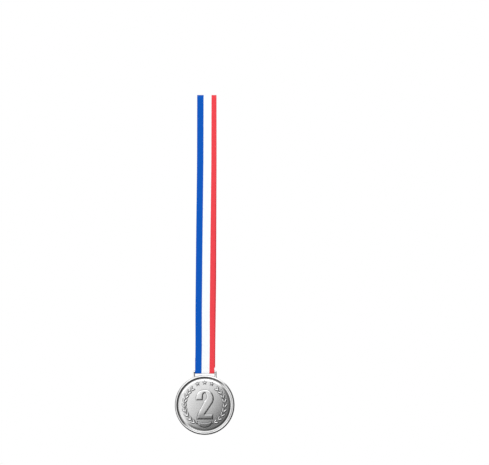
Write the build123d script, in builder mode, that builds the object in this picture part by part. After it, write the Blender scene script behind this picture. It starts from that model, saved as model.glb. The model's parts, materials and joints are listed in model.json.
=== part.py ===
from build123d import *
from math import acos, atan2, cos, degrees, hypot, radians, sin
import os

# A second-place sports award medal, hanging by its folded neck ribbon. Millimetres.
# Origin: the axis of the rail or peg that the ribbon hangs over, at mid width of the ribbon.
# +X is the viewer's right, +Z is up, and the struck face looks towards -Y.

# Ribbon and the rail it hangs over
RIBBON_W = 21.0
RIBBON_T = 0.5
RAIL_D = 8.0
RAIL_GAP = 0.25  # the ribbon's inner face stands this far off the rail
HANG = 296.9  # rail axis to lug bar axis
FOLD_HALF_ANGLE = 56.0  # the stretch that stays on the rail, each side of its top
SHOULDER_DROP = 3.0  # the legs start this far below the rail axis
TAIL_LENGTH = 24.9  # foot of the ribbon, above the lug bar axis
FOOT_GAP = 0.3  # between the legs and the foot, which turn against each other
LAP_INNER = 15.0  # the loose end that comes up behind the bar
LAP_OUTER_START = 4.0  # where the sewn-down end stops, above the bar axis

# Seam that closes the loop, on the back of the foot
THREAD_D = 0.3
STITCH_LENGTH = 1.9
STITCH_PITCH = 2.5
STITCH_COUNT = 8
SEAM_HEIGHTS = (6.5, 12.5)  # two rows, above the lug bar axis

# Casting: disc and lug
DISC_D = 65.0
DISC_DROP = 35.9  # disc centre below the lug bar axis
RIM_T = 4.0
RIM_INNER_R = 30.3
RIM_ROUND = 0.6
CROWN_Y = -1.45  # the face is flat in the middle
CROWN_R = 12.0
FACE_EDGE_Y = -0.65  # and rolls down to the groove round it
FACE_EDGE_R = 27.9
GROOVE_Y = -0.35
BACK_RECESS_R = 29.6
BACK_Y = 1.1
BAR_D = 2.2
BAR_CLEARANCE = 0.3  # bar to the ribbon that wraps it
SLOT_W = 21.6
POST_W = 2.3
POST_FLARE = 0.3  # how far each post leans out at its top
POST_T = 2.6
POST_TOP = 1.5  # post height above the bar axis
POST_ROUND = 0.6

# Relief, heights above the face
NUMERAL_H = 0.5
LEAF_H = 0.4
STAR_H = 0.4
BANNER_H = 0.35
BOWL_R = 9.8
BOWL_Y = 7.0
STEM_R = 21.9
STEM_W = 0.6
LEAF_LENGTH = 5.4
LEAF_W = 2.1
LEAF_SPREAD = 27.0  # each leaf's angle off the stem
LEAF_PAIRS = 9
WREATH_FIRST = 28.0  # degrees from the bottom of the disc
WREATH_LAST = 136.0
STAR_R = 24.3
STAR_SIZE = 2.5
STAR_WAIST = 0.42  # inner radius over outer radius
STAR_STEP = 18.7  # degrees between stars

# Worked out from the above
bar_z = -HANG
disc_z = bar_z - DISC_DROP
split_z = bar_z + TAIL_LENGTH
rail_r = RAIL_D / 2 + RAIL_GAP
wrap_r = BAR_D / 2 + BAR_CLEARANCE

os.makedirs("parts", exist_ok=True)


def save(piece, name):
    piece.label = name
    export_step(piece, f"parts/{name}.step")


# ---------------------------------------------------------------- ribbon
# Every ribbon piece is a section in the YZ plane, pushed out to the ribbon's width.


def arc_band(centre_z, inner_r, start, size):
    """A ribbon section bent round an axis along X: start and size are degrees from +Y."""
    outer_r = inner_r + RIBBON_T
    ends = [radians(start), radians(start + size)]
    centre = (0, centre_z)
    inner = [(inner_r * cos(a), centre_z + inner_r * sin(a)) for a in ends]
    outer = [(outer_r * cos(a), centre_z + outer_r * sin(a)) for a in ends]
    CenterArc(centre, inner_r, start, size)
    Line(inner[1], outer[1])
    CenterArc(centre, outer_r, start, size)
    Line(outer[0], inner[0])


def flat_band(top, bottom):
    """A straight ribbon section: top and bottom are (inner y, z), and it thickens outwards."""
    side = 1 if top[0] > 0 else -1
    Polyline(
        top,
        (top[0] + side * RIBBON_T, top[1]),
        (bottom[0] + side * RIBBON_T, bottom[1]),
        bottom,
        close=True,
    )


with BuildPart() as ribbon_rail_fold:
    with BuildSketch(Plane.YZ):
        with BuildLine():
            arc_band(0, rail_r, 90 - FOLD_HALF_ANGLE, 2 * FOLD_HALF_ANGLE)
        make_face()
    extrude(amount=RIBBON_W / 2, both=True)
save(ribbon_rail_fold.part, "ribbon_rail_fold")

# The two stretches that bend when the legs swing on the rail.
with BuildPart() as ribbon_shoulders:
    for side in (1, -1):
        start = 0 if side == 1 else 90 + FOLD_HALF_ANGLE
        with BuildSketch(Plane.YZ):
            with BuildLine():
                arc_band(0, rail_r, start, 90 - FOLD_HALF_ANGLE)
            make_face()
            with BuildLine():
                flat_band((side * rail_r, 0), (side * rail_r, -SHOULDER_DROP))
            make_face()
        extrude(amount=RIBBON_W / 2, both=True)
save(ribbon_shoulders.part, "ribbon_shoulders")

with BuildPart() as ribbon_front_leg:
    with BuildSketch(Plane.YZ):
        with BuildLine():
            flat_band((-rail_r, -SHOULDER_DROP), (-wrap_r, split_z + FOOT_GAP / 2))
        make_face()
    extrude(amount=RIBBON_W / 2, both=True)
save(ribbon_front_leg.part, "ribbon_front_leg")

with BuildPart() as ribbon_back_leg:
    with BuildSketch(Plane.YZ):
        with BuildLine():
            flat_band((rail_r, -SHOULDER_DROP), (wrap_r + RIBBON_T, split_z + FOOT_GAP / 2))
        make_face()
    extrude(amount=RIBBON_W / 2, both=True)
save(ribbon_back_leg.part, "ribbon_back_leg")

with BuildPart() as ribbon_front_tail:
    with BuildSketch(Plane.YZ):
        with BuildLine():
            flat_band((-wrap_r, split_z - FOOT_GAP / 2), (-wrap_r, bar_z))
        make_face()
    extrude(amount=RIBBON_W / 2, both=True)
save(ribbon_front_tail.part, "ribbon_front_tail")

with BuildPart() as ribbon_bar_fold:
    with BuildSketch(Plane.YZ):
        with BuildLine():
            arc_band(bar_z, wrap_r, 180, 180)
        make_face()
    extrude(amount=RIBBON_W / 2, both=True)
save(ribbon_bar_fold.part, "ribbon_bar_fold")

# The ribbon's two cut ends lie on each other behind the bar, and the seam joins them.
with BuildPart() as ribbon_inner_end:
    with BuildSketch(Plane.YZ):
        with BuildLine():
            flat_band((wrap_r, bar_z + LAP_INNER), (wrap_r, bar_z))
        make_face()
    extrude(amount=RIBBON_W / 2, both=True)
save(ribbon_inner_end.part, "ribbon_inner_end")

lap_y = wrap_r + RIBBON_T
with BuildPart() as ribbon_outer_end:
    with BuildSketch(Plane.YZ):
        with BuildLine():
            flat_band((lap_y, split_z - FOOT_GAP / 2), (lap_y, bar_z + LAP_OUTER_START))
        make_face()
    extrude(amount=RIBBON_W / 2, both=True)
save(ribbon_outer_end.part, "ribbon_outer_end")

# Each stitch is a staple of thread: two legs through both ends, and a bar on the outside.
lap_depth = 2 * RIBBON_T
with BuildPart() as seam_stitches:
    for height in SEAM_HEIGHTS:
        with Locations((0, wrap_r, bar_z + height)):
            with GridLocations(STITCH_PITCH, 1, STITCH_COUNT, 1):
                with Locations((0, lap_depth + THREAD_D / 2, 0)):
                    Box(STITCH_LENGTH, THREAD_D, THREAD_D)
                with Locations((0, lap_depth / 2 + THREAD_D / 4, 0)):
                    with GridLocations(STITCH_LENGTH - THREAD_D, 1, 2, 1):
                        Box(THREAD_D, lap_depth + THREAD_D / 2, THREAD_D)
    fillet(seam_stitches.edges().filter_by(Axis.Z).group_by(Axis.Y)[-1], THREAD_D / 3)
save(seam_stitches.part, "seam_stitches")

# ---------------------------------------------------------------- casting


def polar(radius, angle):
    """A point on the face, angle in degrees from +X."""
    return (radius * cos(radians(angle)), radius * sin(radians(angle)))


def numeral_two():
    """The outline of a bold 2: foot, diagonal, round bowl, flat terminal, narrow counter."""
    foot_left, foot_right = -8.9, 9.1
    foot_bottom, foot_top = -15.6, -10.0
    crotch = (0.4, foot_top)
    terminal_left, terminal_right = (-BOWL_R * cos(radians(10)), 5.3), (-2.2, 5.3)
    counter = (0.1, 9.4)
    counter_rx, counter_ry = 2.0, 3.6
    waist = (-0.6, 3.9)
    hip = (-4.8, -4.3)
    # The diagonal's right edge leaves the bowl along its tangent.
    drop = (crotch[0], crotch[1] - BOWL_Y)
    swing = degrees(atan2(drop[1], drop[0]) + acos(BOWL_R / hypot(*drop)))
    tangent = polar(BOWL_R, swing)
    bowl_start = (tangent[0], tangent[1] + BOWL_Y)
    Polyline((foot_left, foot_bottom), (foot_right, foot_bottom), (foot_right, foot_top), crotch, bowl_start)
    ThreePointArc(bowl_start, (0, BOWL_Y + BOWL_R), terminal_left)
    Polyline(terminal_left, terminal_right, (counter[0] - counter_rx, counter[1]))
    EllipticalCenterArc(counter, counter_rx, counter_ry, 0, arc_size=180)
    ThreePointArc((counter[0] + counter_rx, counter[1]), (1.2, 6.3), waist)
    Line(waist, hip)
    ThreePointArc(hip, (-7.6, -9.8), (foot_left, foot_bottom))


def leaf_outline():
    """A pointed leaf lying along +X, from its foot at the origin."""
    ThreePointArc((0, 0), (LEAF_LENGTH * 0.45, LEAF_W / 2), (LEAF_LENGTH, 0))
    ThreePointArc((0, 0), (LEAF_LENGTH * 0.45, -LEAF_W / 2), (LEAF_LENGTH, 0))


def star_outline():
    """A five-pointed star round the origin, one point up."""
    radii = (STAR_SIZE, STAR_SIZE * STAR_WAIST)
    Polyline([polar(radii[k % 2], 90 + 36 * k) for k in range(10)], close=True)


def stem_outline(start, size):
    """The wreath's stem: a thin band along an arc of the face."""
    inner_r, outer_r = STEM_R - STEM_W / 2, STEM_R + STEM_W / 2
    CenterArc((0, 0), inner_r, start, size)
    Line(polar(inner_r, start + size), polar(outer_r, start + size))
    CenterArc((0, 0), outer_r, start, size)
    Line(polar(outer_r, start), polar(inner_r, start))


def banner_outline():
    """The crossed-stem tie below the numeral, bowed like a smile."""
    Polyline((-6.4, -22.3), (-8.1, -17.6))
    ThreePointArc((-8.1, -17.6), (0, -19.4), (8.1, -17.6))
    Line((8.1, -17.6), (6.4, -22.3))
    ThreePointArc((6.4, -22.3), (0, -24.6), (-6.4, -22.3))


def face_outline(lift):
    """Half section of the crowned face, raised by lift, closed at the depth of the groove."""
    crown_end = (CROWN_R, CROWN_Y - lift)
    edge = (FACE_EDGE_R, FACE_EDGE_Y - lift)
    Line((0, GROOVE_Y), (0, CROWN_Y - lift))
    Line((0, CROWN_Y - lift), crown_end)
    TangentArc(crown_end, edge, tangent=(1, 0))
    Line(edge, (FACE_EDGE_R, GROOVE_Y))
    Line((FACE_EDGE_R, GROOVE_Y), (0, GROOVE_Y))


leaf_step = (WREATH_LAST - WREATH_FIRST) / (LEAF_PAIRS - 1)
face = Plane(origin=(0, GROOVE_Y, disc_z), x_dir=(1, 0, 0), z_dir=(0, -1, 0))
across = Plane(origin=(0, 0, disc_z), x_dir=(1, 0, 0), z_dir=(0, 0, 1))
disc_axis = Axis((0, 0, disc_z), (0, 1, 0))
relief_reach = RIM_T

# Each figure is pushed out of the face, then cut to a top that follows the face's crown.
with BuildPart() as numeral:
    with BuildSketch(face):
        with BuildLine():
            numeral_two()
        make_face()
    extrude(amount=relief_reach)
    with BuildSketch(across):
        with BuildLine():
            face_outline(NUMERAL_H)
        make_face()
    revolve(axis=disc_axis, mode=Mode.INTERSECT)

with BuildPart() as banner:
    with BuildSketch(face):
        with BuildLine():
            banner_outline()
        make_face()
    extrude(amount=relief_reach)
    with BuildSketch(across):
        with BuildLine():
            face_outline(BANNER_H)
        make_face()
    revolve(axis=disc_axis, mode=Mode.INTERSECT)

with BuildPart() as stars:
    with BuildSketch(face):
        for n in (-1, 0, 1):
            turn = 90 + n * STAR_STEP
            with BuildLine(Location(polar(STAR_R, turn), turn - 90)):
                star_outline()
            make_face()
    extrude(amount=relief_reach)
    with BuildSketch(across):
        with BuildLine():
            face_outline(STAR_H)
        make_face()
    revolve(axis=disc_axis, mode=Mode.INTERSECT)

with BuildPart() as wreath:
    with BuildSketch(face):
        for side in (1, -1):
            stem_end = -90 + side * (WREATH_LAST + leaf_step / 2)
            stem_start = -90 + side * (WREATH_FIRST - leaf_step / 2)
            with BuildLine():
                stem_outline(min(stem_start, stem_end), abs(stem_end - stem_start))
            make_face()
            for pair in range(LEAF_PAIRS):
                turn = -90 + side * (WREATH_FIRST + pair * leaf_step)
                for spread in (LEAF_SPREAD, -LEAF_SPREAD):
                    heading = turn + side * 90 + spread
                    with BuildLine(Location(polar(STEM_R, turn), heading)):
                        leaf_outline()
                    make_face()
    extrude(amount=relief_reach)
    with BuildSketch(across):
        with BuildLine():
            face_outline(LEAF_H)
        make_face()
    revolve(axis=disc_axis, mode=Mode.INTERSECT)

with BuildPart() as medal_casting:
    # Disc: rim and groove in front, a shallow recess behind, then the crowned face.
    with BuildSketch(across) as half_section:
        with BuildLine():
            Polyline(
                (0, GROOVE_Y),
                (RIM_INNER_R, GROOVE_Y),
                (RIM_INNER_R, -RIM_T / 2),
                (DISC_D / 2, -RIM_T / 2),
                (DISC_D / 2, RIM_T / 2),
                (BACK_RECESS_R, RIM_T / 2),
                (BACK_RECESS_R, BACK_Y),
                (0, BACK_Y),
                close=True,
            )
        make_face()
        fillet(half_section.vertices().group_by(Axis.X)[-1], RIM_ROUND)
    revolve(axis=disc_axis)
    with BuildSketch(across):
        with BuildLine():
            face_outline(0)
        make_face()
    revolve(axis=disc_axis)
    for figure in (numeral, banner, stars, wreath):
        add(figure.part)

    # Lug: two posts that lean out a little, joined by the round bar the ribbon wraps.
    post_base_z = disc_z + DISC_D / 2 * cos(radians(27))
    with BuildSketch(Plane.XZ) as posts:
        for side in (1, -1):
            inner_x = side * SLOT_W / 2
            with BuildLine():
                Polyline(
                    (inner_x, post_base_z),
                    (inner_x + side * POST_W, post_base_z),
                    (inner_x + side * (POST_W + POST_FLARE), bar_z + POST_TOP),
                    (inner_x + side * POST_FLARE / 2, bar_z + POST_TOP),
                    close=True,
                )
            make_face()
        fillet(posts.vertices().group_by(Axis.Y)[-1], POST_ROUND)
    extrude(amount=POST_T / 2, both=True)
    with BuildSketch(Plane.YZ):
        with Locations((0, bar_z)):
            Circle(BAR_D / 2)
    extrude(amount=(SLOT_W + POST_W) / 2, both=True)
save(medal_casting.part, "medal_casting")
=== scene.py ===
import json
import math

import bpy
import numpy as np
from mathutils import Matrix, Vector
from mathutils.geometry import delaunay_2d_cdt
from mathutils.kdtree import KDTree


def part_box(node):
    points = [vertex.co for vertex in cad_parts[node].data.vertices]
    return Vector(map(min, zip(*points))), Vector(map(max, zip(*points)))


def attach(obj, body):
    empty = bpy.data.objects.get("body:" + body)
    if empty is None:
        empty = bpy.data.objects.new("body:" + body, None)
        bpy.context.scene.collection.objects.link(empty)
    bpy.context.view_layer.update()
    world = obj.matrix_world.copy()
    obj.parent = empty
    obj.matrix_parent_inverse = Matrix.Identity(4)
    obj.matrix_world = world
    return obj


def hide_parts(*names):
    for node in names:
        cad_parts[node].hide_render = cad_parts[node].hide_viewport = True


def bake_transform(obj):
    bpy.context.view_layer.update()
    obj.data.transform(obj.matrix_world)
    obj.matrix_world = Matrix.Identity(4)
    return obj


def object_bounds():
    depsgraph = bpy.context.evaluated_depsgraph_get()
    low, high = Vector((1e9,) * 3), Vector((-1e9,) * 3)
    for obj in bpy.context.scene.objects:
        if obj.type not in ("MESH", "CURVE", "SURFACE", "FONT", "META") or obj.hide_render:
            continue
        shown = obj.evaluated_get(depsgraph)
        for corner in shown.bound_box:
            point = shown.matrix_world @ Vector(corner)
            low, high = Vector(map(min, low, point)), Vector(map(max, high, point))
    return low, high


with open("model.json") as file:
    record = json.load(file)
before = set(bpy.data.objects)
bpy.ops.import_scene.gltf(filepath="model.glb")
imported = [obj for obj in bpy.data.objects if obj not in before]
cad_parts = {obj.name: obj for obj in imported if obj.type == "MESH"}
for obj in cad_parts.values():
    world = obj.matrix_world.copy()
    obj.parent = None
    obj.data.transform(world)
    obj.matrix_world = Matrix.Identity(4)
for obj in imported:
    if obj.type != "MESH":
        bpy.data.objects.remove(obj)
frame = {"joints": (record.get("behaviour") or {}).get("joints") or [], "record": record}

# A silver award medal on a blue, white and red neck ribbon. The meshes are worked out in millimetres, in the
# part's own frame, and written in metres.
MM = 0.001
cad_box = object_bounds()

# ------------------------------------------------------------------ places and sizes from the frame

joints = {j["name"]: j for j in frame["joints"]}
mounts = {m["name"]: m for m in frame["record"]["mounts"]}
BAR_Z = joints["medal_tilt"]["pos_m"][2] / MM
SPLIT_Z = joints["ribbon_twist"]["pos_m"][2] / MM
DISC_Z = mounts["reverse_field"]["pos_m"][2] / MM
BACK_Y = mounts["reverse_field"]["pos_m"][1] / MM
RAIL_R = mounts["neck_loop"]["dims"]["r_mm"]
DISC_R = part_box("medal_casting")[1].x / MM
RIM_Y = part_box("medal_casting")[1].y / MM
RIBBON_W = mounts["neck_loop"]["dims"]["length_mm"]
CAD_RIBBON_T = (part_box("ribbon_front_tail")[1].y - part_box("ribbon_front_tail")[0].y) / MM
LUG_TOP_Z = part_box("medal_casting")[1].z / MM
LAP_TOP_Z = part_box("ribbon_inner_end")[1].z / MM
LAP_BOTTOM_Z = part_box("ribbon_outer_end")[0].z / MM

# ------------------------------------------------------------------ mesh helpers


def make_object(name, points, faces, sharp_deg=None):
    """An object from points in millimetres, smooth shaded, with edges over sharp_deg kept crisp."""
    mesh = bpy.data.meshes.new(name)
    mesh.from_pydata((np.asarray(points) * MM).tolist(), [], faces)
    mesh.validate()
    mesh.polygons.foreach_set("use_smooth", [True] * len(mesh.polygons))
    if sharp_deg is not None:
        mesh.set_sharp_from_angle(angle=math.radians(sharp_deg))
    mesh.update()
    thing = bpy.data.objects.new(name, mesh)
    bpy.context.scene.collection.objects.link(thing)
    return thing


def point_values(thing, name, values):
    """Stores one number per point, for the materials to read."""
    data = thing.data.attributes.new(name, "FLOAT", "POINT").data
    data.foreach_set("value", np.asarray(values, np.float32))


def tube_faces(rings, around, first=0):
    """Quads that join rings of points, and one flat cap at each end."""
    faces = []
    for i in range(rings - 1):
        for j in range(around):
            k = (j + 1) % around
            a, b = first + i * around, first + (i + 1) * around
            faces.append((a + j, a + k, b + k, b + j))
    faces.append(tuple(first + j for j in reversed(range(around))))
    last = first + (rings - 1) * around
    faces.append(tuple(last + j for j in range(around)))
    return faces


# ------------------------------------------------------------------ the struck face
# Plane coordinates are x to the right and z up from the disc's centre. Heights are towards the viewer.

CROWN_Y, EDGE_Y, EDGE_R = -1.5, -0.82, 27.9
DOME_POWER = 2.9  # the dome is flat in the middle and steepens outwards
EDGE_ROUND, EDGE_FALL, EDGE_POWER = 1.7, 0.43, 1.35  # the face's edge rolls down into the groove
GROOVE_Y = -0.35
NUMERAL_H, LEAF_H, STAR_H, BANNER_H, STEM_H = 0.5, 0.6, 0.42, 0.27, 0.3
BEVEL_POWER, PILLOW_REACH = 1.45, 3.2
BOWL_R, BOWL_Z = 9.8, 7.0
LEAF_LENGTH, LEAF_HALF, LEAF_SPREAD, LEAF_PAIRS = 5.4, 1.05, 27.0, 9
WREATH_FIRST, WREATH_LAST = 28.0, 136.0  # degrees from the bottom of the disc, either way
STEM_R, STEM_HALF = 21.9, 0.36
STEM_FIRST, STEM_LAST = WREATH_FIRST - 9, WREATH_LAST + 5
STAR_CENTRE_R, STAR_SIZE, STAR_WAIST, STAR_STEP = 24.3, 2.5, 0.42, 18.7
FIFTH = math.radians(72)
# Patina is 0 for bright silver and 1 for black. A dark line round each figure fades outwards.
FIELD_PATINA, TOP_PATINA, WALL_PATINA, MOST_PATINA = 0.2, 0.14, 0.66, 0.9
BIG_STAIN, SMALL_STAIN = (0.5, 0.2), (0.7, 0.26)  # its depth and reach: numeral and tie, all the rest
WALL_WIDTH = 0.5  # of the dark bevel inside each outline
TOP_POLISH, FIELD_POLISH, POLISH_WIDTH = 0.3, 0.15, 0.3
FOOT_HALF, FOOT_TOP_Z, FOOT_FADE, FOOT_PAINTED_SHADE = 9.3, -6.5, 5.0, 0.3  # the numeral's foot is painted darker towards its bottom: painted shade
RIM_SHADE_R, RIM_SHADE, RIM_SHADE_TURN = 31.6, 0.6, 0.6  # beyond it the edge's darkening is less on its upper right and more on its lower left: painted highlight and painted shade
# The face's mesh
OUTLINE_PITCH = 0.22
OUTER_CONTOURS = (0.1, 0.32, 0.7)
EDGE_INSETS = (0.25, 0.5, 0.8, 1.15, 1.6)
FIELD_PITCH = 0.5
LOOSE_ROOM, FIELD_ROOM = 0.07, 0.55 * FIELD_PITCH
AROUND = 512  # points round the edge of the face and each ring of the rim


def crown_height(r):
    """Height of the plain face at radius r: a low dome that rolls down at its edge."""
    dome = -CROWN_Y - (EDGE_Y - CROWN_Y) * (r / EDGE_R) ** DOME_POWER
    roll = np.clip((r - EDGE_R + EDGE_ROUND) / EDGE_ROUND, 0, 1)
    return dome - EDGE_FALL * roll ** EDGE_POWER


def arc_points(centre, rx, ry, start, end, count):
    """Points along an elliptical arc, from start to end in degrees."""
    a = np.radians(np.linspace(start, end, count))
    return np.stack([centre[0] + rx * np.cos(a), centre[1] + ry * np.sin(a)], -1)


def bend_points(a, through, b, count):
    """Points along the parabola from a to b that passes through a third point at its middle."""
    t = np.linspace(0, 1, count)[:, None]
    a, through, b = (np.array(p, float) for p in (a, through, b))
    control = 2 * through - (a + b) / 2
    return (1 - t) ** 2 * a + 2 * t * (1 - t) * control + t * t * b


def numeral_outline():
    """A bold 2, as in the CAD: foot, diagonal, round bowl, flat terminal, narrow counter."""
    crotch = np.array([0.4, -10.0])
    drop = crotch - (0, BOWL_Z)
    tangent = math.degrees(math.atan2(drop[1], drop[0]) + math.acos(BOWL_R / math.hypot(*drop)))
    foot = np.array([(-8.9, -15.6), (9.1, -15.6), (9.1, -10.0), crotch])
    bowl = arc_points((0, BOWL_Z), BOWL_R, BOWL_R, tangent, 190, 180)
    counter = arc_points((0.1, 9.4), 2.0, 3.6, 180, 0, 40)
    inner = bend_points((2.1, 9.4), (1.2, 6.3), (-0.6, 3.9), 20)[1:]
    hip = bend_points((-4.8, -4.3), (-7.6, -9.8), (-8.9, -15.6), 30)[:-1]
    return np.vstack([foot, bowl, [(-2.2, 5.3)], counter, inner, hip])


def banner_outline():
    """The tie under the numeral, bowed like a smile."""
    top = bend_points((-8.1, -17.6), (0, -19.4), (8.1, -17.6), 50)
    bottom = bend_points((6.4, -22.3), (0, -24.6), (-6.4, -22.3), 40)
    return np.vstack([top, bottom])


def outline_distance(p, outline):
    """Signed distance from points p to a closed outline, negative inside."""
    best = np.full(len(p), 1e9)
    inside = np.zeros(len(p), bool)
    for a, b in zip(outline, np.roll(outline, -1, axis=0)):
        ab, ap = b - a, p - a
        t = np.clip(ap @ ab / max(ab @ ab, 1e-12), 0, 1)
        best = np.minimum(best, np.hypot(*(ap - t[:, None] * ab).T))
        crosses = (a[1] > p[:, 1]) != (b[1] > p[:, 1])
        rise = ab[1] if ab[1] else 1e-12
        inside ^= crosses & (p[:, 0] < a[0] + (p[:, 1] - a[1]) / rise * ab[0])
    return np.where(inside, -best, best)


def plateau(height, shoulder, pillow):
    """A bevelled edge that rounds into a nearly flat top; pillow is the share of the top's slow rise."""
    def lift(p, d):
        wall = 1 - (1 - np.clip(-d / shoulder, 0, 1)) ** BEVEL_POWER
        swell = np.sqrt(1 - (1 - np.clip(-d / PILLOW_REACH, 0, 1)) ** 2)
        return height * ((1 - pillow) * wall + pillow * swell)

    return lift


def star(turn):
    """Outline, ridges and facets of a five-pointed star, with one point away from the disc's centre."""
    heading = math.radians(turn)
    centre = STAR_CENTRE_R * np.array([math.cos(heading), math.sin(heading)])
    a = heading + FIFTH / 2 * np.arange(10)
    r = np.where(np.arange(10) % 2 == 0, STAR_SIZE, STAR_SIZE * STAR_WAIST)
    outline = centre + np.stack([r * np.cos(a), r * np.sin(a)], -1)
    tip = np.array([STAR_SIZE, 0.0])
    notch = STAR_SIZE * STAR_WAIST * np.array([math.cos(FIFTH / 2), math.sin(FIFTH / 2)])
    side = notch - tip

    def lift(p, d):
        q = p - centre
        fold = np.mod(np.arctan2(q[:, 1], q[:, 0]) - heading, FIFTH)
        fold = np.minimum(fold, FIFTH - fold)
        r = np.hypot(*q.T)
        x, z = r * np.cos(fold) - tip[0], r * np.sin(fold)
        return STAR_H * np.clip((side[0] * z - side[1] * x) / (side[1] * tip[0]), 0, 1)

    ridges = [np.array([centre, corner]) for corner in outline]
    return outline, ridges, (), lift


def leaf(foot, heading, length, half):
    """Outline, midrib and form of a pointed leaf with a ridge along its middle."""
    way = np.array([math.cos(heading), math.sin(heading)])
    out = np.array([-way[1], way[0]])

    def width(t):
        return half * np.sin(math.pi * np.clip(t, 0, 1) ** 0.85) ** 0.8

    t = 0.5 - 0.5 * np.cos(np.linspace(0, math.pi, 26))
    one = foot + np.outer(t * length, way) + np.outer(width(t), out)
    other = foot + np.outer(t * length, way) - np.outer(width(t), out)
    outline = np.vstack([one, other[-2:0:-1]])
    midrib = foot + np.outer(np.linspace(0.04, 0.96, 20) * length, way)

    def lift(p, d):
        t = (p - foot) @ way / length
        share = np.abs((p - foot) @ out) / (width(t) + 1e-6)
        roof = np.clip(1 - share, 0, 1) * (0.7 + 0.3 * np.sin(math.pi * np.clip(t, 0, 1)))
        full = np.clip(width(t) / half * 1.5, 0, 1)
        return LEAF_H * full * (0.4 * np.clip(-d / 0.1, 0, 1) + 0.6 * roof)

    return outline, [midrib], (-0.1,), lift


def stem(side):
    """Outline, middle line and form of a half-round stem along an arc, thinning at both ends."""
    share = np.linspace(0, 1, 170)
    turn = STEM_FIRST + (STEM_LAST - STEM_FIRST) * share
    a = np.radians(-90 + side * turn)
    half = STEM_HALF * np.clip(share * 14 + 0.35, 0, 1) * np.clip((1 - share) * 6, 0.02, 1)
    rays = np.stack([np.cos(a), np.sin(a)], -1)
    outline = np.vstack([rays * (STEM_R + half)[:, None], (rays * (STEM_R - half)[:, None])[::-1]])

    def lift(p, d):
        off = np.abs(np.degrees(np.arctan2(p[:, 0], -p[:, 1])))
        local = np.interp(off, turn, half)
        across = (np.hypot(*p.T) - STEM_R) / (local + 1e-6)
        return STEM_H * np.sqrt(np.clip(1 - across * across, 0, 1)) * np.clip(local / STEM_HALF, 0, 1)

    middle = rays[::2] * STEM_R
    return outline, [middle], (-0.14,), lift


def leaves():
    """Leaves in pairs along both branches, the middle ones longest."""
    step = (WREATH_LAST - WREATH_FIRST) / (LEAF_PAIRS - 1)
    for side in (1, -1):
        for pair in range(LEAF_PAIRS):
            turn = math.radians(-90 + side * (WREATH_FIRST + pair * step))
            foot = STEM_R * np.array([math.cos(turn), math.sin(turn)])
            size = 0.9 + 0.14 * math.sin(math.pi * (pair + 1) / (LEAF_PAIRS + 1))
            for spread in (LEAF_SPREAD, -LEAF_SPREAD):
                heading = turn + side * math.pi / 2 + math.radians(spread)
                yield leaf(foot, heading, LEAF_LENGTH * size, LEAF_HALF * size)


# Each figure is an outline, the ridge lines inside it, its inner contours' distances and its lift.
FIGURES = [
    (numeral_outline(), [], (-0.15, -0.35, -0.6, -0.85, -1.1, -1.7), plateau(NUMERAL_H, 1.0, 0.1)),
    (banner_outline(), [], (-0.15, -0.4, -0.65, -0.9, -1.3), plateau(BANNER_H, 0.9, 0.12)),
    *[star(90 + n * STAR_STEP) for n in (-1, 0, 1)],
    stem(1),
    stem(-1),
    *leaves(),
]
BIG_FIGURES = 2  # the numeral and the tie


def relief(p):
    """Lift of the relief at points p, distance to the nearest figure (negative inside) and stain round it."""
    lift, stain = np.zeros((2, len(p)))
    gap = np.full(len(p), 9.0)
    for number, (outline, _, _, form) in enumerate(FIGURES):
        depth, reach = BIG_STAIN if number < BIG_FIGURES else SMALL_STAIN
        near = ((p > outline.min(0) - 2) & (p < outline.max(0) + 2)).all(1)
        d = outline_distance(p[near], outline)
        lift[near] = np.maximum(lift[near], np.where(d < 0, form(p[near], d), 0))
        gap[near] = np.minimum(gap[near], d)
        stain[near] = np.maximum(stain[near], depth * np.exp(-np.maximum(d, 0) / reach))
    return lift, gap, stain


def resampled(outline):
    """A closed outline with extra points along its long sides, and the outward normal at each point."""
    rows = []
    for a, b in zip(outline, np.roll(outline, -1, axis=0)):
        steps = max(1, round(math.dist(a, b) / OUTLINE_PITCH))
        rows.append(a + (b - a) * np.arange(steps)[:, None] / steps)
    p = np.vstack(rows)
    ahead = np.roll(p, -1, axis=0)
    way = ahead - np.roll(p, 1, axis=0)
    turn = np.sign((p[:, 0] * ahead[:, 1] - p[:, 1] * ahead[:, 0]).sum())
    normal = turn * np.stack([way[:, 1], -way[:, 0]], -1) / np.hypot(*way.T)[:, None]
    return p, normal


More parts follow.
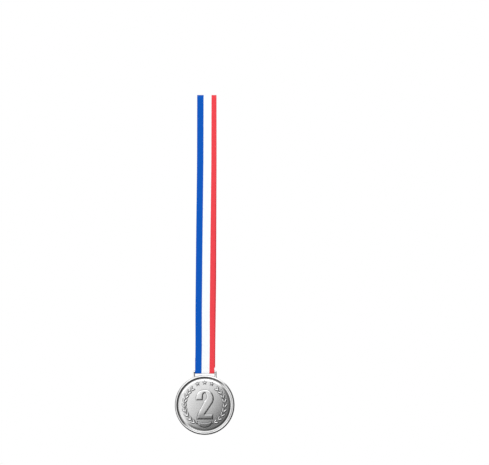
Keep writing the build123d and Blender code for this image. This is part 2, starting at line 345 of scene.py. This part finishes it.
def face_mesh():
    """A triangle mesh of the face whose edges follow every outline, ridge and contour of the relief."""
    fixed, edges, loose = [], [], []

    def chain(p, closed):
        first = sum(len(rows) for rows in fixed)
        fixed.append(p)
        edges.extend((first + i, first + i + 1) for i in range(len(p) - 1))
        if closed:
            edges.append((first + len(p) - 1, first))

    a = 2 * math.pi * np.arange(AROUND) / AROUND
    chain(EDGE_R * np.stack([np.cos(a), np.sin(a)], -1), True)
    for outline, ridges, depths, _ in FIGURES:
        p, normal = resampled(outline)
        chain(p, True)
        for ridge in ridges:
            chain(ridge, False)
        for depth in (*depths, *OUTER_CONTOURS):
            contour = p + normal * depth
            measured = outline_distance(contour, outline)
            loose.append(contour[np.abs(measured - depth) < 0.12 * abs(depth)])
    for inset in EDGE_INSETS:
        loose.append((EDGE_R - inset) * np.stack([np.cos(a), np.sin(a)], -1))
    field = np.mgrid[-EDGE_R:EDGE_R:FIELD_PITCH, -EDGE_R:EDGE_R:FIELD_PITCH].reshape(2, -1).T
    field[:, 0] += FIELD_PITCH / 2 * (np.round(field[:, 1] / FIELD_PITCH) % 2)
    field = field[np.hypot(*field.T) < EDGE_R - 1.8]

    # Loose points keep clear of the fixed ones, and of each other.
    kept = np.vstack(fixed)
    for group, room in ((np.vstack(loose), LOOSE_ROOM), (field, FIELD_ROOM)):
        tree = KDTree(len(kept) + len(group))
        for i, q in enumerate(np.vstack([kept, group])):
            tree.insert((q[0], q[1], 0), i)
        tree.balance()
        gone = set()
        for i, q in enumerate(group, len(kept)):
            close = [k for _, k, _ in tree.find_range((q[0], q[1], 0), room) if k < i and k not in gone]
            if close:
                gone.add(i)
        stays = [i not in gone for i in range(len(kept), len(kept) + len(group))]
        kept = np.vstack([kept, group[stays]])

    corners, _, triangles, *_ = delaunay_2d_cdt([Vector(q) for q in kept], edges, [], 0, 1e-6)
    p = np.array([tuple(v) for v in corners])
    return p, [tuple(t) for t in triangles]


BACK_FINISH = 0.3, 0.1  # patina and polish of the plain field on the back


def rim_profile():
    """(radius, y, patina and painted shade, polish) from the face's edge, through the groove, over the rim,
    to the back.
    """
    top_r = 30.9
    groove = [(r, GROOVE_Y - rise) for r, rise in ((28.05, 0.02), (28.35, 0), (28.75, 0.01), (29.1, 0.05))]
    corner = [(r, GROOVE_Y - rise) for r, rise in ((29.4, 0.12), (29.65, 0.2), (29.8, 0.3))]
    inner = arc_points((top_r, GROOVE_Y - 0.25), 1.02, -1.4, 176, 90, 16)
    outer = arc_points((top_r, -0.95), DISC_R - top_r, -1.05, 80, 0, 14)
    back_round = arc_points((DISC_R - 0.9, RIM_Y - 0.9), 0.9, 0.9, 0, 90, 7)
    recess = arc_points((30.3, BACK_Y + 0.35), 0.5, RIM_Y - BACK_Y - 0.35, 90, 180, 6)
    foot = arc_points((29.45, BACK_Y + 0.35), 0.35, 0.35, 0, -90, 5)[1:]
    field = [(r, BACK_Y) for r in (28.6, 26, 20, 12, 5)]
    for part, patina_and_shade, polish in (
        (groove, 0.12, 0.8),
        (corner[:1], 0.25, 0.6),
        (corner[1:], 0.62, 0.5),
        (inner[:6], 0.5, 0.8),
        (inner[6:], 0.03, 1.0),
        (outer[:3], 0.02, 1.0),
        # Painted shade: the rim's outer slope and the top of its side wall are darkened.
        (outer[3:], 0.52, 0.8),
        (back_round[:2], 0.4, 0.8),
        (back_round[2:], 0.02, 1.0),
        (recess, 0.1, 0.8),
        (foot, 0.6, 0.2),
        (field, *BACK_FINISH),
    ):
        for r, y in part:
            yield r, y, patina_and_shade, polish


def medal_mesh():
    """Points, faces, patina with painted shade, and polish of the whole casting."""
    p, faces = face_mesh()
    r = np.hypot(*p.T)
    lift, gap, stain = relief(p)
    height = crown_height(r) + lift
    points = [np.stack([p[:, 0], -height, p[:, 1] + DISC_Z], -1)]
    wall = np.clip(1 + gap / WALL_WIDTH, 0, 1)
    # Painted shade: the numeral's foot is darkened more the lower it goes.
    low = FOOT_PAINTED_SHADE * np.clip((FOOT_TOP_Z - p[:, 1]) / FOOT_FADE, 0, 1)
    foot = np.where(np.abs(p[:, 0]) < FOOT_HALF, low, 0)
    on_figure = TOP_PATINA + foot + WALL_PATINA * wall
    patina_and_shade = [np.where(gap < 0, on_figure, np.minimum(FIELD_PATINA + stain, MOST_PATINA))]
    polish = [np.where(gap < 0, TOP_POLISH * np.clip(-gap / POLISH_WIDTH, 0, 1), FIELD_POLISH)]

    # Rings from the edge of the face round to the middle of the back.
    ring = np.flatnonzero(r > EDGE_R - 1e-3)
    ring = ring[np.argsort(np.mod(np.arctan2(p[ring, 1], p[ring, 0]) + 1e-4, 2 * math.pi))]
    angle = 2 * math.pi * np.arange(AROUND) / AROUND
    count = len(p)
    for radius, y, dark, bright in rim_profile():
        row = np.stack([radius * np.cos(angle), np.full(AROUND, y), DISC_Z + radius * np.sin(angle)], -1)
        points.append(row)
        # Painted highlight and painted shade: the outer edge is darkened less on its upper right and more on
        # its lower left.
        painted_side = RIM_SHADE * np.sin(angle + RIM_SHADE_TURN) if radius > RIM_SHADE_R else np.zeros(AROUND)
        patina_and_shade.append(dark * (1 - painted_side))
        polish.append(np.full(AROUND, bright))
        new = np.arange(count, count + AROUND)
        faces += np.stack([ring, np.roll(ring, -1), np.roll(new, -1), new], -1).tolist()
        ring, count = new, count + AROUND
    points.append(np.array([[0, BACK_Y, DISC_Z]]))
    patina_and_shade.append(BACK_FINISH[:1])
    polish.append(BACK_FINISH[1:])
    faces += [(int(a), int(b), count) for a, b in zip(ring, np.roll(ring, -1))]
    count += 1

    for shell, shell_faces, dark in lug_shells():
        points.append(shell)
        faces += [tuple(count + i for i in f) for f in shell_faces]
        patina_and_shade.append(dark)
        polish.append(np.full(len(shell), LUG_POLISH))
        count += len(shell)
    return np.vstack(points), faces, np.concatenate(patina_and_shade), np.concatenate(polish)


# ------------------------------------------------------------------ the lug

SLOT_HALF, POST_HALF, POST_FLARE = 10.62, 1.1, 0.1
POST_HALF_T, BAR_R = 1.3, 1.1
POST_SQUARE = 0.4  # 1 would make a post's section round, and 0 square
POST_SINK = 1.0  # how far a post's foot goes into the rim
SWELL_UP, SWELL_FADE = 0.6, 0.7  # a post is widest for this far above its foot, then slims this fast
BAR_FILLET, BAR_FADE = 0.35, 0.4
# The second value is painted shade on each post's side that faces the slot.
POST_PATINA, POST_INNER_SHADE, BAR_PATINA, LUG_POLISH = 0.08, 0.75, 0.2, 0.8


def lug_shells():
    """Points, faces and patina of two posts that swell into the rim, and of the round bar between them, with
    painted shade on the posts' inner sides.
    """
    around = 28
    a = 2 * math.pi * np.arange(around) / around
    box_x = np.sign(np.cos(a)) * np.abs(np.cos(a)) ** POST_SQUARE
    box_y = np.sign(np.sin(a)) * np.abs(np.sin(a)) ** POST_SQUARE
    post_x = SLOT_HALF + POST_HALF
    foot_z = DISC_Z + math.sqrt(DISC_R ** 2 - post_x ** 2) - POST_SINK
    for side in (1, -1):
        rings = []
        for t in np.linspace(0, 1, 26) ** 0.8:
            z = foot_z + (LUG_TOP_Z - foot_z) * t
            swell = 0.9 * math.exp(min(0, -(z - foot_z - SWELL_UP) / SWELL_FADE))
            dome = math.sqrt(max(1 - max(0, (z - LUG_TOP_Z + 1.0)) ** 2, 0.0025))
            x = side * (post_x + POST_FLARE * t)
            half_x = (POST_HALF + 0.55 * swell) * dome
            half_y = (POST_HALF_T + 0.2 * swell) * dome
            rings.append(np.stack([x + half_x * box_x, half_y * box_y, np.full(around, z)], -1))
        # Painted shade: each post is darker on its side facing the slot.
        dark = POST_PATINA + POST_INNER_SHADE * np.clip(-side * np.cos(a), 0, 1) ** 0.5
        yield np.vstack(rings), tube_faces(len(rings), around), np.tile(dark, len(rings))
    rings = []
    for x in np.linspace(-post_x, post_x, 33):
        r = BAR_R + BAR_FILLET * math.exp(-max(SLOT_HALF - abs(x), 0) / BAR_FADE)
        rings.append(np.stack([np.full(around, x), r * np.cos(a), BAR_Z + r * np.sin(a)], -1))
    yield np.vstack(rings), tube_faces(len(rings), around), np.full(len(rings) * around, BAR_PATINA)


# ------------------------------------------------------------------ the ribbon
# One cut length runs from its inner end behind the bar, round the bar, up the front, over the rail and down
# the back to its outer end. Stations along it hold the (y, z) of its middle.

RIBBON_T = 0.42
SELVEDGE_T = 0.56
UPPER_REACH = 45.0  # the upper piece goes this far down each side of the rail
WRAP_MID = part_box("ribbon_bar_fold")[1].y / MM - CAD_RIBBON_T / 2
RAIL_MID = RAIL_R + CAD_RIBBON_T / 2
OUTER_MID = WRAP_MID + CAD_RIBBON_T
# Sideways drift of the middle of the ribbon (height, x), as it hangs.
TOP_DRIFT = 2.35
FRONT_DRIFT = [(0, TOP_DRIFT), (-70, 2.15), (-148, 1.2), (-236, 0.35), (-268, 0.45), (-297, 0.0)]
BACK_DRIFT = [(0, TOP_DRIFT), (-60, 2.45), (-200, 2.0), (-236, 1.5), (-262, 1.15), (-293, 0.85)]
CORNER = 0.03  # how softly a strand leaves its slope for the upright stretch at the bar
COARSE, FINE = 1.5, 0.6  # steps between stations


def strand(top_y, bottom_y, z):
    """How far out a strand hangs at heights z, easing out of its slope over its lower corner."""
    t = np.clip((z - SPLIT_Z) / (-3.0 - SPLIT_Z), -1, 2)
    eased = np.logaddexp(0, t / CORNER) * CORNER
    return bottom_y + (top_y - bottom_y) * np.minimum(eased, 1)


def smooth_table(table, z):
    """A table of (height, value), read at heights z as a smooth curve."""
    heights, values = np.array(table, float).T
    fine = np.linspace(heights.min(), heights.max(), 200)
    line = np.interp(fine, heights[::-1], values[::-1])
    kernel = np.hanning(35) / np.hanning(35).sum()
    line = np.convolve(np.pad(line, 17, mode="edge"), kernel, mode="valid")
    return np.interp(z, fine, line)


def ribbon_path():
    """Stations along the ribbon's cut length: y, z, x drift, and how freely it may belly there."""
    fold = arc_points((0, BAR_Z), WRAP_MID, WRAP_MID, 0, -180, 28)
    over = arc_points((0, 0), RAIL_MID, RAIL_MID, 180, 0, 40)
    near_bar = BAR_Z + 12
    z_up = np.concatenate([np.arange(BAR_Z + 0.5, near_bar, FINE), np.arange(near_bar, -1, COARSE)])
    front = np.stack([-strand(RAIL_MID, WRAP_MID, z_up), z_up], -1)
    near_lap = LAP_BOTTOM_Z + 9
    z_down = np.concatenate([np.arange(-1, near_lap, -COARSE), np.arange(near_lap, LAP_BOTTOM_Z, -FINE)])
    back = np.stack([strand(RAIL_MID, OUTER_MID, z_down), z_down], -1)
    z_in = np.arange(LAP_TOP_Z, BAR_Z, -FINE)
    inner = np.stack([np.full(len(z_in), WRAP_MID), z_in], -1)
    path = np.vstack([inner, fold, front, over, back])
    drift = np.concatenate([
        np.zeros(len(inner) + len(fold)),
        smooth_table(FRONT_DRIFT, front[:, 1]),
        np.full(len(over), TOP_DRIFT),
        smooth_table(BACK_DRIFT, back[:, 1]),
    ])
    belly = np.sin(math.pi * np.clip((path[:, 1] - BAR_Z - 10) / (-10 - BAR_Z), 0, 1)) ** 0.8
    belly[: len(inner) + len(fold)] = 0
    belly[len(inner) + len(fold) + len(front):][: len(over)] = 0
    return path, drift, belly


def cross_section():
    """(across, out) round the ribbon's section: two faces, thicker near each edge for the selvedge."""
    half = RIBBON_W / 2
    across = half * np.sin(np.linspace(-math.pi / 2, math.pi / 2, 23)) * 0.997
    edge_gap = half - np.abs(across)
    thick = RIBBON_T / 2 + (SELVEDGE_T - RIBBON_T) / 2 * np.exp(-((edge_gap - 0.45) / 0.4) ** 2)
    thick[[0, -1]] = 0.1
    outer = np.stack([across, thick], -1)
    return np.vstack([outer, outer[::-1] * (1, -1)])


def ribbon_piece(name, spans):
    """One object from stretches of the ribbon, each closed at both ends."""
    path, drift, belly = ribbon_path()
    step = np.hypot(*np.diff(path, axis=0).T)
    along = np.concatenate([[0], np.cumsum(step)])
    way = np.gradient(path, axis=0)
    way /= np.hypot(*way.T)[:, None]
    out = np.stack([-way[:, 1], way[:, 0]], -1)
    section = cross_section()
    u = section[:, 0] / (RIBBON_W / 2)
    front = path[:, 0] < 0
    # Each strand cups and leans a little, by amounts that change slowly along it.
    cup = np.where(front, 0.32 * np.sin(along / 61 + 0.4), -0.38 * np.sin(along / 53 + 1.1)) * belly
    lean = np.where(front, 0.42 * np.sin(along / 47 + 2.0), 0.5 * np.sin(along / 58)) * belly
    points, faces, across_values, along_values = [], [], [], []
    total = 0.0
    for start, end in spans:
        picks = range(start, end + 1)
        total += along[end] - along[start]
        first = len(points) * len(section)
        for i in picks:
            offset = section[:, 1] + cup[i] * (u * u - 0.4) + lean[i] * u
            ring = np.stack([
                section[:, 0] + drift[i],
                path[i, 0] + out[i, 0] * offset,
                path[i, 1] + out[i, 1] * offset,
            ], -1)
            points.append(ring)
            across_values.append(section[:, 0])
            along_values.append(np.full(len(section), along[i]))
        faces += tube_faces(len(picks), len(section), first)
    ribbon = make_object(name, np.vstack(points), faces, sharp_deg=50)
    point_values(ribbon, "across", np.concatenate(across_values))
    point_values(ribbon, "along", np.concatenate(along_values))
    return ribbon, total * MM


# ------------------------------------------------------------------ the seam

STITCH_LENGTH, STITCH_PITCH, STITCH_COUNT = 1.9, 2.4, 8
STITCH_RISE, STITCH_SINK = 0.16, 0.05
SEAM_HEIGHTS = (6.5, 12.5)  # of the two rows, above the bar
SEAM_X = 0.4  # the middle of both rows
THREAD_R = 0.16


def stitch_rings(centre_x, y, z, out):
    """Points and faces of a stitch: a twist of thread that dips into the cloth at both ends."""
    around = 10
    a = 2 * math.pi * np.arange(around) / around
    rings = []
    for t in np.linspace(-1, 1, 13):
        rise = out * (STITCH_RISE * math.sqrt(max(0, 1 - t ** 4)) - STITCH_SINK)
        r = THREAD_R * (1 - 0.25 * t ** 4) * (1 + 0.1 * math.cos(14 * t))
        x = centre_x + t * STITCH_LENGTH / 2
        rings.append(np.stack([np.full(around, x), y + rise + r * np.cos(a), z + r * np.sin(a)], -1))
    return np.vstack(rings), tube_faces(len(rings), around)


def seam_mesh():
    """Two rows of stitches outside the lap, and their undersides inside the loop."""
    points, faces = [], []
    count = 0
    for height in SEAM_HEIGHTS:
        for k in range(STITCH_COUNT):
            x = (k - (STITCH_COUNT - 1) / 2) * STITCH_PITCH + SEAM_X
            outside = (x, OUTER_MID + RIBBON_T / 2, BAR_Z + height, 1)
            inside = (x, WRAP_MID - RIBBON_T / 2, BAR_Z + height, -1)
            for place in (outside, inside):
                shell, shell_faces = stitch_rings(*place)
                points.append(shell)
                faces += [tuple(count + i for i in f) for f in shell_faces]
                count += len(shell)
    return np.vstack(points), faces


# ------------------------------------------------------------------ materials


def new_material(name):
    """A material with one Principled shader joined to its output."""
    material = bpy.data.materials.new(name)
    material.use_nodes = True
    nodes = material.node_tree.nodes
    nodes.clear()
    out = nodes.new("ShaderNodeOutputMaterial")
    shader = nodes.new("ShaderNodeBsdfPrincipled")
    material.node_tree.links.new(shader.outputs["BSDF"], out.inputs["Surface"])
    return material, shader


def node(material, kind, **settings):
    """A node of a material or world, with its properties set and its inputs set or linked."""
    made = material.node_tree.nodes.new(kind)
    inputs = settings.pop("inputs", {})
    for key, value in settings.items():
        setattr(made, key, value)
    for key, value in inputs.items():
        if isinstance(value, bpy.types.NodeSocket):
            material.node_tree.links.new(value, made.inputs[key])
        else:
            made.inputs[key].default_value = value
    return made


def math_node(material, operation, a, b=0.0, c=0.0, clamp=False):
    inputs = {0: a, 1: b, 2: c}
    return node(material, "ShaderNodeMath", operation=operation, use_clamp=clamp, inputs=inputs).outputs[0]


def ramp(material, factor, stops):
    """The colour of a ramp through (position, colour) stops."""
    made = node(material, "ShaderNodeValToRGB", inputs={"Fac": factor})
    band = made.color_ramp
    while len(band.elements) < len(stops):
        band.elements.new(0.5)
    for element, (position, colour) in zip(band.elements, stops):
        element.position = position
        element.color = (*colour, 1)
    return made.outputs["Color"]


def map_range(material, value, low, high, to_low, to_high, smooth=False):
    kind = "SMOOTHSTEP" if smooth else "LINEAR"
    inputs = {"Value": value, "From Min": low, "From Max": high, "To Min": to_low, "To Max": to_high}
    return node(material, "ShaderNodeMapRange", interpolation_type=kind, inputs=inputs).outputs["Result"]


def mix_colour(material, factor, a, b, blend="MIX"):
    inputs = {0: factor, 6: a, 7: b}
    return node(material, "ShaderNodeMix", data_type="RGBA", blend_type=blend, inputs=inputs).outputs[2]


def noise(material, place, scale, detail, roughness=0.5):
    inputs = {"Vector": place, "Scale": scale, "Detail": detail, "Roughness": roughness}
    return node(material, "ShaderNodeTexNoise", inputs=inputs).outputs["Fac"]


def attribute(material, name):
    return node(material, "ShaderNodeAttribute", attribute_name=name).outputs["Fac"]


def connect(material, source, target):
    material.node_tree.links.new(source, target)


def silver_material():
    """Antique silver plate: bright where the rim and relief were polished, dark in the hollows, and darkened
    by painted shade on the numeral's foot, the rim's outer edge and the posts' inner sides.
    """
    m, shader = new_material("antique_silver")
    patina_and_shade, polish = attribute(m, "patina_and_shade"), attribute(m, "polish")
    place = node(m, "ShaderNodeTexCoord").outputs["Object"]
    cloud = noise(m, place, 110.0, 5.0, 0.6)
    grain = noise(m, place, 5200.0, 2.0, 0.7)
    wear = noise(m, place, 700.0, 4.0)
    pits = node(m, "ShaderNodeTexVoronoi", inputs={"Vector": place, "Scale": 3300.0})
    dark = math_node(m, "ADD", patina_and_shade, map_range(m, cloud, 0.3, 0.7, -0.06, 0.06), clamp=True)
    tone = ramp(m, dark, [
        (0.0, (0.87, 0.87, 0.87)),
        (0.28, (0.76, 0.76, 0.757)),
        (0.60, (0.34, 0.34, 0.345)),
        (0.85, (0.05, 0.05, 0.055)),
        (1.0, (0.012, 0.012, 0.014)),
    ])
    matt = math_node(m, "SUBTRACT", 1.0, polish, clamp=True)
    speckle = map_range(m, grain, 0.3, 0.7, 0.86, 1.06)
    speckled = mix_colour(m, matt, (1, 1, 1, 1), speckle)
    connect(m, mix_colour(m, 1.0, tone, speckled, "MULTIPLY"), shader.inputs["Base Color"])
    rough_field = map_range(m, wear, 0.3, 0.7, 0.15, 0.20)
    rough_bright = map_range(m, wear, 0.3, 0.7, 0.10, 0.17)
    rough = node(m, "ShaderNodeMix", inputs={0: polish, 2: rough_field, 3: rough_bright})
    tarnished = map_range(m, dark, 0.6, 1.0, 0.0, 0.3)
    connect(m, math_node(m, "ADD", rough.outputs[0], tarnished), shader.inputs["Roughness"])
    shader.inputs["Metallic"].default_value = 1.0
    sand = math_node(m, "ADD", grain, pits.outputs["Distance"])
    depth = math_node(m, "MULTIPLY", sand, matt)
    bump = node(m, "ShaderNodeBump", inputs={"Height": depth, "Strength": 0.1, "Distance": 0.00003})
    connect(m, bump.outputs["Normal"], shader.inputs["Normal"])
    return m


BLUE, WHITE, RED = (0.0, 0.088, 0.47), (0.90, 0.925, 0.95), (0.80, 0.055, 0.070)
BLUE_EDGE, RED_EDGE = -3.4, 5.1  # where the white stripe starts and ends, from the middle
RIB_PITCH, WARP_PITCH = 0.62, 0.30


def ribbon_material():
    """Woven polyester in three lengthwise stripes, with fine cross ribs and warp threads."""
    m, shader = new_material("striped_ribbon")
    across, along = attribute(m, "across"), attribute(m, "along")

    def streaks(across_scale, along_scale, detail):
        x, y = math_node(m, "MULTIPLY", across, across_scale), math_node(m, "MULTIPLY", along, along_scale)
        return noise(m, node(m, "ShaderNodeCombineXYZ", inputs={"X": x, "Y": y}).outputs[0], 1.0, detail)

    thread = streaks(5.2, 0.22, 3.0)
    pick = streaks(0.25, 3.4, 2.0)
    rib = math_node(m, "SINE", math_node(m, "MULTIPLY", along, 2 * math.pi / RIB_PITCH))
    end = math_node(m, "SINE", math_node(m, "MULTIPLY", across, 2 * math.pi / WARP_PITCH))
    wander = math_node(m, "MULTIPLY_ADD", thread, 0.22, across)
    blue_to_white = map_range(m, wander, BLUE_EDGE - 0.1, BLUE_EDGE + 0.3, 0.0, 1.0, smooth=True)
    white_to_red = map_range(m, wander, RED_EDGE - 0.1, RED_EDGE + 0.3, 0.0, 1.0, smooth=True)
    colour = mix_colour(m, blue_to_white, (*BLUE, 1), (*WHITE, 1))
    colour = mix_colour(m, white_to_red, colour, (*RED, 1))
    shade = math_node(m, "MULTIPLY_ADD", rib, 0.05, 0.95)
    fleck = map_range(m, math_node(m, "ADD", thread, pick), 0.7, 1.3, 0.88, 1.06)
    tone = math_node(m, "MULTIPLY", shade, fleck)
    connect(m, mix_colour(m, 1.0, colour, tone, "MULTIPLY"), shader.inputs["Base Color"])
    connect(m, map_range(m, pick, 0.3, 0.7, 0.42, 0.58), shader.inputs["Roughness"])
    shader.inputs["Sheen Weight"].default_value = 0.03
    shader.inputs["Sheen Roughness"].default_value = 0.4
    shader.inputs["Specular IOR Level"].default_value = 0.08
    weave = math_node(m, "ADD", rib, math_node(m, "MULTIPLY", end, 0.45))
    bump = node(m, "ShaderNodeBump", inputs={"Height": weave, "Strength": 0.5, "Distance": 0.00005})
    connect(m, bump.outputs["Normal"], shader.inputs["Normal"])
    return m


def thread_material():
    """White sewing thread, two plies twisted together."""
    m, shader = new_material("sewing_thread")
    place = node(m, "ShaderNodeTexCoord").outputs["Object"]
    slant = (0.0, math.radians(40), 0.0)
    turned = node(m, "ShaderNodeMapping", inputs={"Vector": place, "Rotation": slant}).outputs[0]
    twist = node(m, "ShaderNodeTexWave", inputs={"Vector": turned, "Scale": 800.0, "Distortion": 0.6})
    fluff = node(m, "ShaderNodeTexNoise", inputs={"Vector": place, "Scale": 4000.0, "Detail": 3.0})
    # Painted shade: the colour follows the twist wave that drives the bump, grey in the grooves between the
    # plies.
    tone = ramp(m, twist.outputs["Fac"], [(0.0, (0.56, 0.57, 0.6)), (1.0, (0.88, 0.89, 0.91))])
    connect(m, mix_colour(m, 0.2, tone, fluff.outputs["Color"], "OVERLAY"), shader.inputs["Base Color"])
    shader.inputs["Roughness"].default_value = 0.6
    shader.inputs["Sheen Weight"].default_value = 0.3
    height = twist.outputs["Fac"]
    bump = node(m, "ShaderNodeBump", inputs={"Height": height, "Strength": 0.6, "Distance": 0.00006})
    connect(m, bump.outputs["Normal"], shader.inputs["Normal"])
    return m


# ------------------------------------------------------------------ building the pieces

points, faces, patina_and_shade, polish = medal_mesh()
medal = make_object("medal", points, faces, sharp_deg=48)
point_values(medal, "patina_and_shade", patina_and_shade)
point_values(medal, "polish", polish)
medal.data.materials.append(silver_material())
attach(medal, "medal")
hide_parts("medal_casting")

path = ribbon_path()[0]
high = np.flatnonzero(path[:, 1] > -UPPER_REACH)
first_high, last_high = int(high[0]), int(high[-1])
woven = ribbon_material()
ribbon_upper, upper_length = ribbon_piece("ribbon_upper", [(first_high, last_high)])
ribbon_lower, lower_length = ribbon_piece("ribbon_lower", [(0, first_high), (last_high, len(path) - 1)])
for piece in (ribbon_upper, ribbon_lower):
    piece.data.materials.append(woven)
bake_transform(ribbon_upper)
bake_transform(ribbon_lower)
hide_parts("ribbon_rail_fold", "ribbon_shoulders")
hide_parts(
    "ribbon_front_leg", "ribbon_back_leg", "ribbon_front_tail",
    "ribbon_bar_fold", "ribbon_inner_end", "ribbon_outer_end",
)

points, faces = seam_mesh()
seam = make_object("seam_thread", points, faces)
seam.data.materials.append(thread_material())
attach(seam, "ribbon_foot")
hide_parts("seam_stitches")

# ------------------------------------------------------------------ floor, light and camera

FLOOR_R, FLOOR_DROP = 600, 190  # the floor's radius, and how far it is below the medal


def floor():
    """A pale round floor below the hanging medal, out of the photograph's view."""
    around = 96
    a = 2 * math.pi * np.arange(around) / around
    height = np.full(around, cad_box[0].z / MM - FLOOR_DROP)
    edge = np.stack([FLOOR_R * np.cos(a), FLOOR_R * np.sin(a), height], -1)
    disc = make_object("floor", edge, [tuple(range(around))])
    m, shader = new_material("pale_floor")
    place = node(m, "ShaderNodeTexCoord").outputs["Object"]
    tone = ramp(m, noise(m, place, 3.0, 4.0), [(0.0, (0.74, 0.74, 0.74)), (1.0, (0.80, 0.80, 0.795))])
    connect(m, tone, shader.inputs["Base Color"])
    shader.inputs["Roughness"].default_value = 0.85
    # The polished metal above it doesn't mirror the floor.
    clear = node(m, "ShaderNodeBsdfTransparent").outputs[0]
    glossy = node(m, "ShaderNodeLightPath").outputs["Is Glossy Ray"]
    mix = node(m, "ShaderNodeMixShader", inputs={0: glossy, 1: shader.outputs[0], 2: clear})
    connect(m, mix.outputs[0], m.node_tree.nodes["Material Output"].inputs["Surface"])
    disc.data.materials.append(m)


def area_light(name, place, target, size, watts):
    """A round lamp that faces a target."""
    data = bpy.data.lights.new(name, "AREA")
    data.shape = "DISK"
    data.size = size
    data.energy = watts
    lamp = bpy.data.objects.new(name, data)
    lamp.location = place
    lamp.rotation_euler = (Vector(target) - Vector(place)).to_track_quat("-Z", "Y").to_euler()
    bpy.context.scene.collection.objects.link(lamp)


SKY_WAY = (-0.73, 0.0, 0.68)  # where the light comes from
# The sky's brightness from straight away from the light (0) to straight towards it (1).
SKY = [
    (0.0, 0.13), (0.09, 0.10), (0.14, 0.05), (0.19, 0.04), (0.27, 0.15), (0.40, 0.18),
    (0.452, 0.19), (0.48, 0.82), (0.50, 1.08), (0.58, 1.12), (0.72, 0.92), (1.0, 0.68),
]
CLOTH_LIGHT = 1.13


def studio():
    """A white world to look at. Its light comes from above and the left, and the rest of it is dark."""
    world = bpy.data.worlds.new("studio")
    world.use_nodes = True
    world.node_tree.nodes.clear()

    def background(colour):
        return node(world, "ShaderNodeBackground", inputs={"Color": colour}).outputs[0]

    def switch(ray, otherwise, then):
        return node(world, "ShaderNodeMixShader", inputs={0: rays[ray], 1: otherwise, 2: then}).outputs[0]

    way = node(world, "ShaderNodeTexCoord").outputs["Generated"]
    rays = node(world, "ShaderNodeLightPath").outputs
    towards = Vector(SKY_WAY).normalized()
    lean = node(world, "ShaderNodeVectorMath", operation="DOT_PRODUCT", inputs={0: way, 1: towards})
    share = map_range(world, lean.outputs["Value"], -1.0, 1.0, 0.0, 1.0)
    sky = background(ramp(world, share, [(position, (level,) * 3) for position, level in SKY]))
    # Cloth is lit evenly from all round; only gloss sees the dark side.
    light = switch("Is Diffuse Ray", sky, background((CLOTH_LIGHT, CLOTH_LIGHT, CLOTH_LIGHT, 1)))
    seen = switch("Is Camera Ray", light, background((1, 1, 1, 1)))
    out = node(world, "ShaderNodeOutputWorld")
    connect(world, seen, out.inputs["Surface"])
    bpy.context.scene.world = world
    bpy.context.scene.view_settings.view_transform = "Standard"


VIEW_WIDTH = 0.5326  # width of the view at the medal, in metres
VIEW_DISTANCE = 2.2
VIEW_CENTRE = (0.04335, -0.145)  # x and z of the middle of the view


def camera():
    """Level with the ribbon and square to it, as the photograph is."""
    data = bpy.data.cameras.new("camera")
    data.sensor_width = 36.0
    data.lens = data.sensor_width * VIEW_DISTANCE / VIEW_WIDTH
    cam = bpy.data.objects.new("camera", data)
    cam.location = (VIEW_CENTRE[0], -VIEW_DISTANCE, VIEW_CENTRE[1])
    cam.rotation_euler = (math.radians(90), 0, 0)
    bpy.context.scene.collection.objects.link(cam)
    bpy.context.scene.camera = cam


floor()
studio()
area_light("key", (-1.0, -1.3, 0.75), (0, 0, -0.2), 1.4, 5)
area_light("front", (0.2, -1.7, 1.0), (0, 0, -0.2), 1.3, 3.5)
camera()
